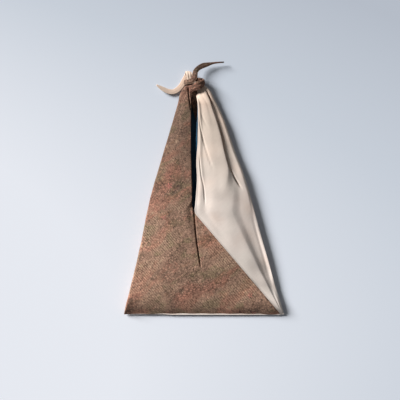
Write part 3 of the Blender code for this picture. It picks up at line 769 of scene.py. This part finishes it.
def patternedLines(y):
    # the fold lines from the front edge round the left fold to the back's middle, as (x, z)
    left, _ = edgesAt(y)
    end = frontMiddle(y) - opening(y, bag["slitWidth"], bag["seamGap"]) / 2
    aboveFoot = aboveSlitFoot(y)
    share = y / bag["slitFoot"]
    depth = bag["thickness"] * curveThrough(seamHollow, share)
    crease = end - patterned["creaseOff"] * (1 - aboveFoot)
    slanting = bag["knotAcross"] - patterned["creaseOff"] + patterned["creaseSlant"] * (bag["slitFoot"] - y)
    crease = np.where(share < 1, slanting, crease)
    ridge = crease - patterned["ridgeOff"] * (1 + np.clip(1 - share, 0, 1)) * (1 - 0.9 * aboveFoot)
    tuck = patterned["tuck"] * crownAt(y) * aboveFoot
    under = crease + (end - crease) * 0.35
    shoulder = left + 0.15 * reachIn(end - left, bag["foldRadius"])
    middle = left + 0.5 * (ridge - left)
    outer = left + 0.08 * (ridge - left)
    return [(end - 0.15 * bag["slitWidth"] * aboveFoot, dome(end, y) - tuck),
            (under - 0.1 * bag["slitWidth"] * aboveFoot,
             dome(under, y) - 0.35 * depth * (1 - aboveFoot) - 0.55 * tuck),
            (crease, dome(crease, y) - depth * (1 - aboveFoot) - 0.18 * tuck),
            (ridge, dome(ridge, y)),
            (middle, dome(middle, y)),
            (outer, dome(outer, y)),
            (shoulder, dome(shoulder, y)),
            (left, foldHeight(y, -1)),
            *backLines(y, left, backMiddle(y) - opening(y, bag["backSlitWidth"], bag["seamGap"]) / 2)]


grid, turn, along = clothGrid(patternedLines, patternedPath, patternedAngles, 1, patterned)
foldColumn = int(np.argmax(turn >= 1))
leftAt = edgesAt(np.minimum(along, neckHeight))[0]
patternedUv = clothMap(grid, foldColumn, along, leftAt)
normal = gridNormals(grid, -1)
x, y = grid[..., 0], grid[..., 1]
front = frontShare(turn)
onBody = softStep((patterned["drapeTop"] - along) / patterned["drapeFade"])[:, None] * front
push = drape(x, y, patterned["drapeSeed"], patterned["drapeSize"], patterned["drapeHeight"]) * onBody
push -= onBody * creaseDepth(x, y, slitCrease)
push -= (along < gatherHeight + patterned["neckCreaseTop"])[:, None] * front * creaseDepth(x, y, neckCrease)
push += gathers(turn, along, patterned)
grid = grid + normal * push[..., None]
grid[..., 2] = np.maximum(grid[..., 2], 0)
brownPrint = patternedMaterial()
patternedPanel = gridObject("patternedPanel", grid, -1, patternedUv, bag["cloth"])
dress(patternedPanel, brownPrint, "patterned_panel")
print("patterned cloth made")

# The plain cloth: right front, right horn and the rest of the back
plain = {
    "counts": (10, 10, 12, 14, 22, 18, 14, 10, 10, 10, 8, 10),
    "rows": 128,
    "step": 0.0021,
    "drapeSeed": 8,
    "drapeSize": 0.055,
    "drapeHeight": 0.0005,
    "drapeTop": 0.62,
    "drapeFade": 0.03,
    "ridges": 8,
    "ridgePhase": 1.1,
    "ridgeHeight": 0.0010,
    "ridgeFull": 0.10,
    "ridgeInKnot": 0.35,
    "hemHeight": 0.0011,  # a rim along the front edge, where the cloth is turned in
    "hemReach": 0.0028,
    "troughDepth": 0.0009,  # a narrow trough beside the right fold, which leaves a rim along it
    "troughFromFold": 0.0095,
    "troughReach": 0.0040,
    "bottomPeek": 0.0014,  # how far the back shows below the front at the bottom seam
}
plainAngles = (0, 0.10, 0.20, 0.36, 0.55, 0.62, 0.72, 0.84, 1, 1.2, 1.4, 1.7, 2)
# the pleat over the share of the neck's height: its place across the front, its lip's width and its depth
pleatPlace = ((0, 0.74), (0.25, 0.66), (0.45, 0.66), (0.56, 0.74), (0.64, 0.80), (0.80, 0.815), (0.93, 0.82),
              (1, 0.84))
pleatLip = ((0, 0.34), (0.45, 0.28), (0.60, 0.12), (0.67, 0.06), (1, 0.05))
pleatDepth = ((0, 0), (0.48, 0), (0.56, 0.05), (0.64, 0.12), (0.72, 0.15), (1, 0.13))
# the narrow hollow beside the front edge: its place across the front and its depth
narrowPlace = ((0, 0.24), (0.5, 0.18), (0.75, 0.16), (1, 0.18))
narrowDepth = ((0, 0), (0.3, 0), (0.48, 0.03), (0.7, 0.04), (1, 0.04))
# how much lower the shoulder beside the fold lies than the smooth dome, as a share of its height
shoulderDrop = ((0, 0), (0.08, 0.18), (0.20, 0.41), (0.40, 0.29), (0.55, 0.17), (0.66, 0.14), (1, 0.12))
# how far right of the slit's middle line the free edge wanders: (height, distance)
edgeWander = ((0.271, 0), (0.31, 0.0020), (0.36, 0.0040), (0.41, 0.0012), (0.467, 0.0045), (0.53, 0.0055),
              (0.575, 0.0048), (0.602, 0.0015))
# creases of the right front: depth, left reach, right reach, fade and the (x, y) points, bottom up
plainCreases = (
    (0.0110, 0.0016, 0.0012, 0.030,
     ((0.1061, 0.333), (0.0873, 0.360), (0.0658, 0.408), (0.0481, 0.483), (0.0368, 0.5207), (0.0236, 0.5586),
      (0.0142, 0.5868), (0.0030, 0.6094))),
    (0.0020, 0.0015, 0.0019, 0.030, ((0.0274, 0.382), (0.0086, 0.4334), (-0.0083, 0.500), (-0.0120, 0.530))),
    (0.0018, 0.0015, 0.0019, 0.030, ((0.0046, 0.285), (0.0008, 0.337), (-0.0067, 0.375), (-0.0121, 0.4334))),
    (0.0014, 0.0015, 0.0019, 0.015, ((0.0150, 0.495), (0.0040, 0.512), (-0.0085, 0.541))),
)


def edgeWanderAt(y):
    # none below the slit's foot
    return np.where(y > bag["slitFoot"], curveThrough(edgeWander, y), 0)


def plainLines(y):
    # the fold lines from the front edge round the right fold to the back's middle, as (x, z)
    _, right = edgesAt(y)
    end = frontMiddle(y) + opening(y, bag["slitWidth"], bag["seamGap"]) / 2
    end = end + edgeWanderAt(y)
    aboveFoot = aboveSlitFoot(y)
    share = y / neckHeight
    sharp = 1 - 0.5 * softStep((share - 0.42) / 0.14)
    shoulder = right - sharp * reachIn(right - end, bag["foldRadius"])
    width = shoulder - end
    pleat = end + width * curveThrough(pleatPlace, share)
    step = bag["thickness"] * curveThrough(pleatDepth, share)
    lap = 0.01 * width * softStep((share - 0.5) / 0.1)
    narrow = end + width * curveThrough(narrowPlace, share)
    hollow = bag["thickness"] * curveThrough(narrowDepth, share)
    turnDown = 0.06 * crownAt(y) * aboveFoot
    edgeRidge = end + 0.45 * (narrow - end)
    lip = pleat - lap - width * curveThrough(pleatLip, share)
    crest = narrow + 0.5 * (lip - narrow)
    beyond = pleat + 0.4 * (shoulder - pleat)
    lower = 1 - curveThrough(shoulderDrop, share)
    return [(end, dome(end, y) - turnDown),
            (edgeRidge, dome(edgeRidge, y)),
            (narrow, dome(narrow, y) - hollow),
            (crest, dome(crest, y)),
            (lip + 0.5 * lap, dome(lip, y)),
            (pleat - 0.5 * lap, dome(pleat, y) * (1 - 0.16 * (1 - lower)) - step),
            (beyond, dome(beyond, y) * (1 - 0.76 * (1 - lower)) - 0.6 * step),
            (shoulder, dome(shoulder, y) * lower - 0.2 * step),
            (right, foldHeight(y, 1)),
            *backLines(y, right, backMiddle(y) + opening(y, bag["backSlitWidth"], bag["seamGap"]) / 2)]


grid, turn, along = clothGrid(plainLines, plainPath, plainAngles, -1, plain)
foldColumn = int(np.argmax(turn >= 1))
rightAt = edgesAt(np.minimum(along, neckHeight))[1]
plainUv = clothMap(grid, foldColumn, along, -rightAt)
plainUv[..., 0] *= -1
normal = gridNormals(grid, 1)
x, y = grid[..., 0], grid[..., 1]
front = frontShare(turn)
onBody = softStep((plain["drapeTop"] - along) / plain["drapeFade"])[:, None] * front
push = drape(x, y, plain["drapeSeed"], plain["drapeSize"], plain["drapeHeight"]) * onBody
for crease in plainCreases:
    push -= onBody * creaseDepth(x, y, crease)
push += plain["hemHeight"] * bump(np.linalg.norm(grid - grid[:, :1], axis=2), plain["hemReach"]) * onBody
fromTrough = np.abs(x - rightAt[:, None]) - plain["troughFromFold"]
# the trough runs from 0.05 to 0.30 up the cloth, faded at both ends
lowBody = (softStep((along - 0.05) / 0.06) * softStep((0.30 - along) / 0.08))[:, None]
push -= plain["troughDepth"] * bump(fromTrough, plain["troughReach"]) * onBody * lowBody
push += gathers(turn, along, plain)
grid = grid + normal * push[..., None]
# the back peeks out at the bottom seam alone, and not in the left corner
onBack = softStep((turn[None, :] - 1.1) / 0.2)
peek = plain["bottomPeek"] * onBack * np.clip(1 - along / 0.012, 0, 1)[:, None]
grid[..., 1] -= peek * softStep((x + 0.105) / 0.02)
grid[..., 2] = np.maximum(grid[..., 2], 0)
plainPanel = gridObject("plainPanel", grid, 1, plainUv, bag["cloth"])
dress(plainPanel, plainMaterial(), "plain_panel")
print("plain cloth made")

# The lining: a left and a right half inside the outer cloths, up to the gather
lining = {
    "inset": 0.009,
    "bottom": 0.028,
    "share": 0.42,  # its height as a share of the crown
    "cloth": 0.0006,
    "clearance": 0.0003,  # above the outer cloth on the table
    "counts": (12,) * 7,
    "rows": 90,
    "showShift": 0.0045,  # how far its right front edge stands out into the slit, where it shows
    "showRise": 0.80,  # and how much higher it lies there, as a share of its height
}
# how much of the right front edge shows in the slit, from 0 to 1
liningShows = ((0.36, 0), (0.42, 0.5), (0.47, 1), (0.51, 0.8), (0.55, 0.4), (0.56, 0.3))


def liningLines(y, side):
    # the fold lines of one half, from its front edge round its side fold to its back edge
    left, right = edgesAt(y)
    fold = (left if side < 0 else right) - side * lining["inset"]
    frontEnd = frontMiddle(y) + side * opening(y, bag["slitWidth"], 0) / 2
    showing = curveThrough(liningShows, y) * (side > 0)
    frontEnd = frontEnd + edgeWanderAt(y) * (side > 0) - lining["showShift"] * showing
    backEnd = backMiddle(y) + side * opening(y, bag["backSlitWidth"], 0) / 2
    frontEnd = np.clip(frontEnd, left + lining["inset"], right - lining["inset"])
    backEnd = np.clip(backEnd, left + lining["inset"], right - lining["inset"])
    height = lining["share"] * crownAt(y)
    floor = seamLift(y) + bag["cloth"] + lining["clearance"]
    level = 0.5 * (floor + height)
    toward = frontEnd - fold
    reach = np.sign(toward) * reachIn(np.abs(toward), bag["foldRadius"])
    backToward = np.sign(backEnd - fold)
    width = np.abs(backEnd - fold)
    rounded = reachIn(width, bag["foldRadius"])
    flat = rounded + reachIn(width, bag["curlReach"])
    return [(frontEnd, height * (1 + lining["showRise"] * showing)),
            (fold + 0.55 * toward, height),
            (fold + reach, 0.9 * height),
            (fold, level),
            (fold + backToward * rounded, floor + 0.65 * (level - floor)),
            (fold + backToward * flat, floor + 0.2 * (level - floor)),
            (fold + backToward * (flat + 0.5 * (width - flat)), floor),
            (backEnd, floor)]


tealWeave = liningMaterial()
liningY = np.linspace(lining["bottom"], gatherHeight, lining["rows"])
for side, name in ((-1, "liningLeft"), (1, "liningRight")):
    grid = sectionRows(lambda at: liningLines(at, side), liningY, lining["counts"])
    foldColumn = sum(lining["counts"][:3])
    uv = clothMap(grid, foldColumn, liningY, grid[:, foldColumn, 0] * -side)
    piece = gridObject(name, grid, side, uv, lining["cloth"])
    dress(piece, tealWeave, "lining")
print("lining made")

# The inner fold below the knot: a stretch of the left horn's cloth that lies deeper in the slit
innerFold = {
    "low": 0.513,
    "high": 0.612,
    "rows": 60,
    "columns": 26,
    "floor": 0.0135,  # the level under the plain horn
    "fall": 0.45,  # share of the width over which it falls to that level
    "ripple": 0.0005,
    "printShift": (0.1, 0.0),
}
# its left and right borders and its height along the left one: (y, value)
foldLeft = ((0.513, -0.0185), (0.5207, -0.0200), (0.5374, -0.0255), (0.5624, -0.0310), (0.588, -0.0315),
            (0.612, -0.0340))
foldRight = ((0.513, -0.0100), (0.54, -0.0060), (0.588, -0.0030), (0.612, -0.0010))
foldRise = ((0.513, 0.0145), (0.55, 0.0175), (0.588, 0.0200), (0.612, 0.0200))
y = np.linspace(innerFold["low"], innerFold["high"], innerFold["rows"])
share = np.linspace(0, 1, innerFold["columns"])[None, :]
start, end = curveThrough(foldLeft, y)[:, None], curveThrough(foldRight, y)[:, None]
rise = curveThrough(foldRise, y)[:, None]
falling = (rise - innerFold["floor"]) * (1 - softStep(share / innerFold["fall"]))
height = innerFold["floor"] + falling + innerFold["ripple"] * np.sin(11 * share + 40 * y[:, None])
grid = np.stack([start + (end - start) * share, np.broadcast_to(y[:, None], height.shape), height], axis=-1)
uv = grid[..., :2] + np.array(innerFold["printShift"])
innerFoldPiece = gridObject("innerFold", grid, 1, uv, bag["cloth"])
dress(innerFoldPiece, brownPrint)
print("inner fold made")

# The table: its tone is middle + across * x + along * y + alongSquared * y squared, so it darkens to the
# right and to the far side, a painted fall-off of the light across the table
tabletop = {
    "halfSize": 4,
    "level": -0.0006,
    "far": linear(182, 189, 200),
    "centre": linear(200, 207, 217),
    "near": linear(231, 234, 241),
    "middle": 0.74,
    "across": -0.55,
    "along": -0.66,
    "alongSquared": -0.75,
    "roughness": 0.95,
}
half, level = tabletop["halfSize"], tabletop["level"]
corners = [(-half, -half, level), (half, -half, level), (half, half, level), (-half, half, level)]
tableMesh = bpy.data.meshes.new("table")
tableMesh.from_pydata(corners, [], [(0, 1, 2, 3)])
table = bpy.data.objects.new("table", tableMesh)
bpy.context.collection.objects.link(table)
tableNodes = Nodes("tableTop")
place = tableNodes.add("ShaderNodeTexCoord").outputs["Object"]
apart = tableNodes.add("ShaderNodeSeparateXYZ", Vector=place)
paintedFalloffTone = tableNodes.math("MULTIPLY_ADD", apart.outputs[0], tabletop["across"], tabletop["middle"])
bent = tableNodes.math("MULTIPLY_ADD", apart.outputs[1], tabletop["alongSquared"], tabletop["along"])
paintedFalloffTone = tableNodes.math("MULTIPLY_ADD", bent, apart.outputs[1], paintedFalloffTone)
shade = tableNodes.ramp(paintedFalloffTone, [(0.0, tabletop["far"]), (0.45, tabletop["centre"]), (1.0, tabletop["near"])])
tableNodes.feed(tableNodes.shader.inputs["Base Color"], shade)
tableNodes.shader.inputs["Roughness"].default_value = tabletop["roughness"]
tableNodes.shader.inputs["Specular IOR Level"].default_value = 0.0
tableMesh.materials.append(tableNodes.material)

# The light, the room and the camera, which looks straight down
studio = {
    "key": 6.62,
    "keyAngle": 23,
    "toKey": (-0.752, 0.520, 0.415),
    "fill": 0.125,
    "fillColour": (0.96, 0.98, 1.0, 1),
    "cameraPlace": (-0.0107, -0.0325),
    "distance": 3.0,
    "field": 1.0748,  # width of the picture at the table
}
key = bpy.data.lights.new("key", "SUN")
key.energy = studio["key"]
key.angle = np.radians(studio["keyAngle"])
keyObject = bpy.data.objects.new("key", key)
keyObject.rotation_euler = (-Vector(studio["toKey"])).to_track_quat("-Z", "Y").to_euler()
bpy.context.collection.objects.link(keyObject)

world = bpy.data.worlds.new("room")
bpy.context.scene.world = world
world.use_nodes = True
world.node_tree.nodes["Background"].inputs[0].default_value = studio["fillColour"]
world.node_tree.nodes["Background"].inputs[1].default_value = studio["fill"]

lens = bpy.data.cameras.new("camera")
lens.lens = lens.sensor_width * studio["distance"] / studio["field"]
camera = bpy.data.objects.new("camera", lens)
camera.location = (*studio["cameraPlace"], studio["distance"])
bpy.context.collection.objects.link(camera)
bpy.context.scene.camera = camera
bpy.context.scene.view_settings.view_transform = "Standard"

print("table, light and camera set")
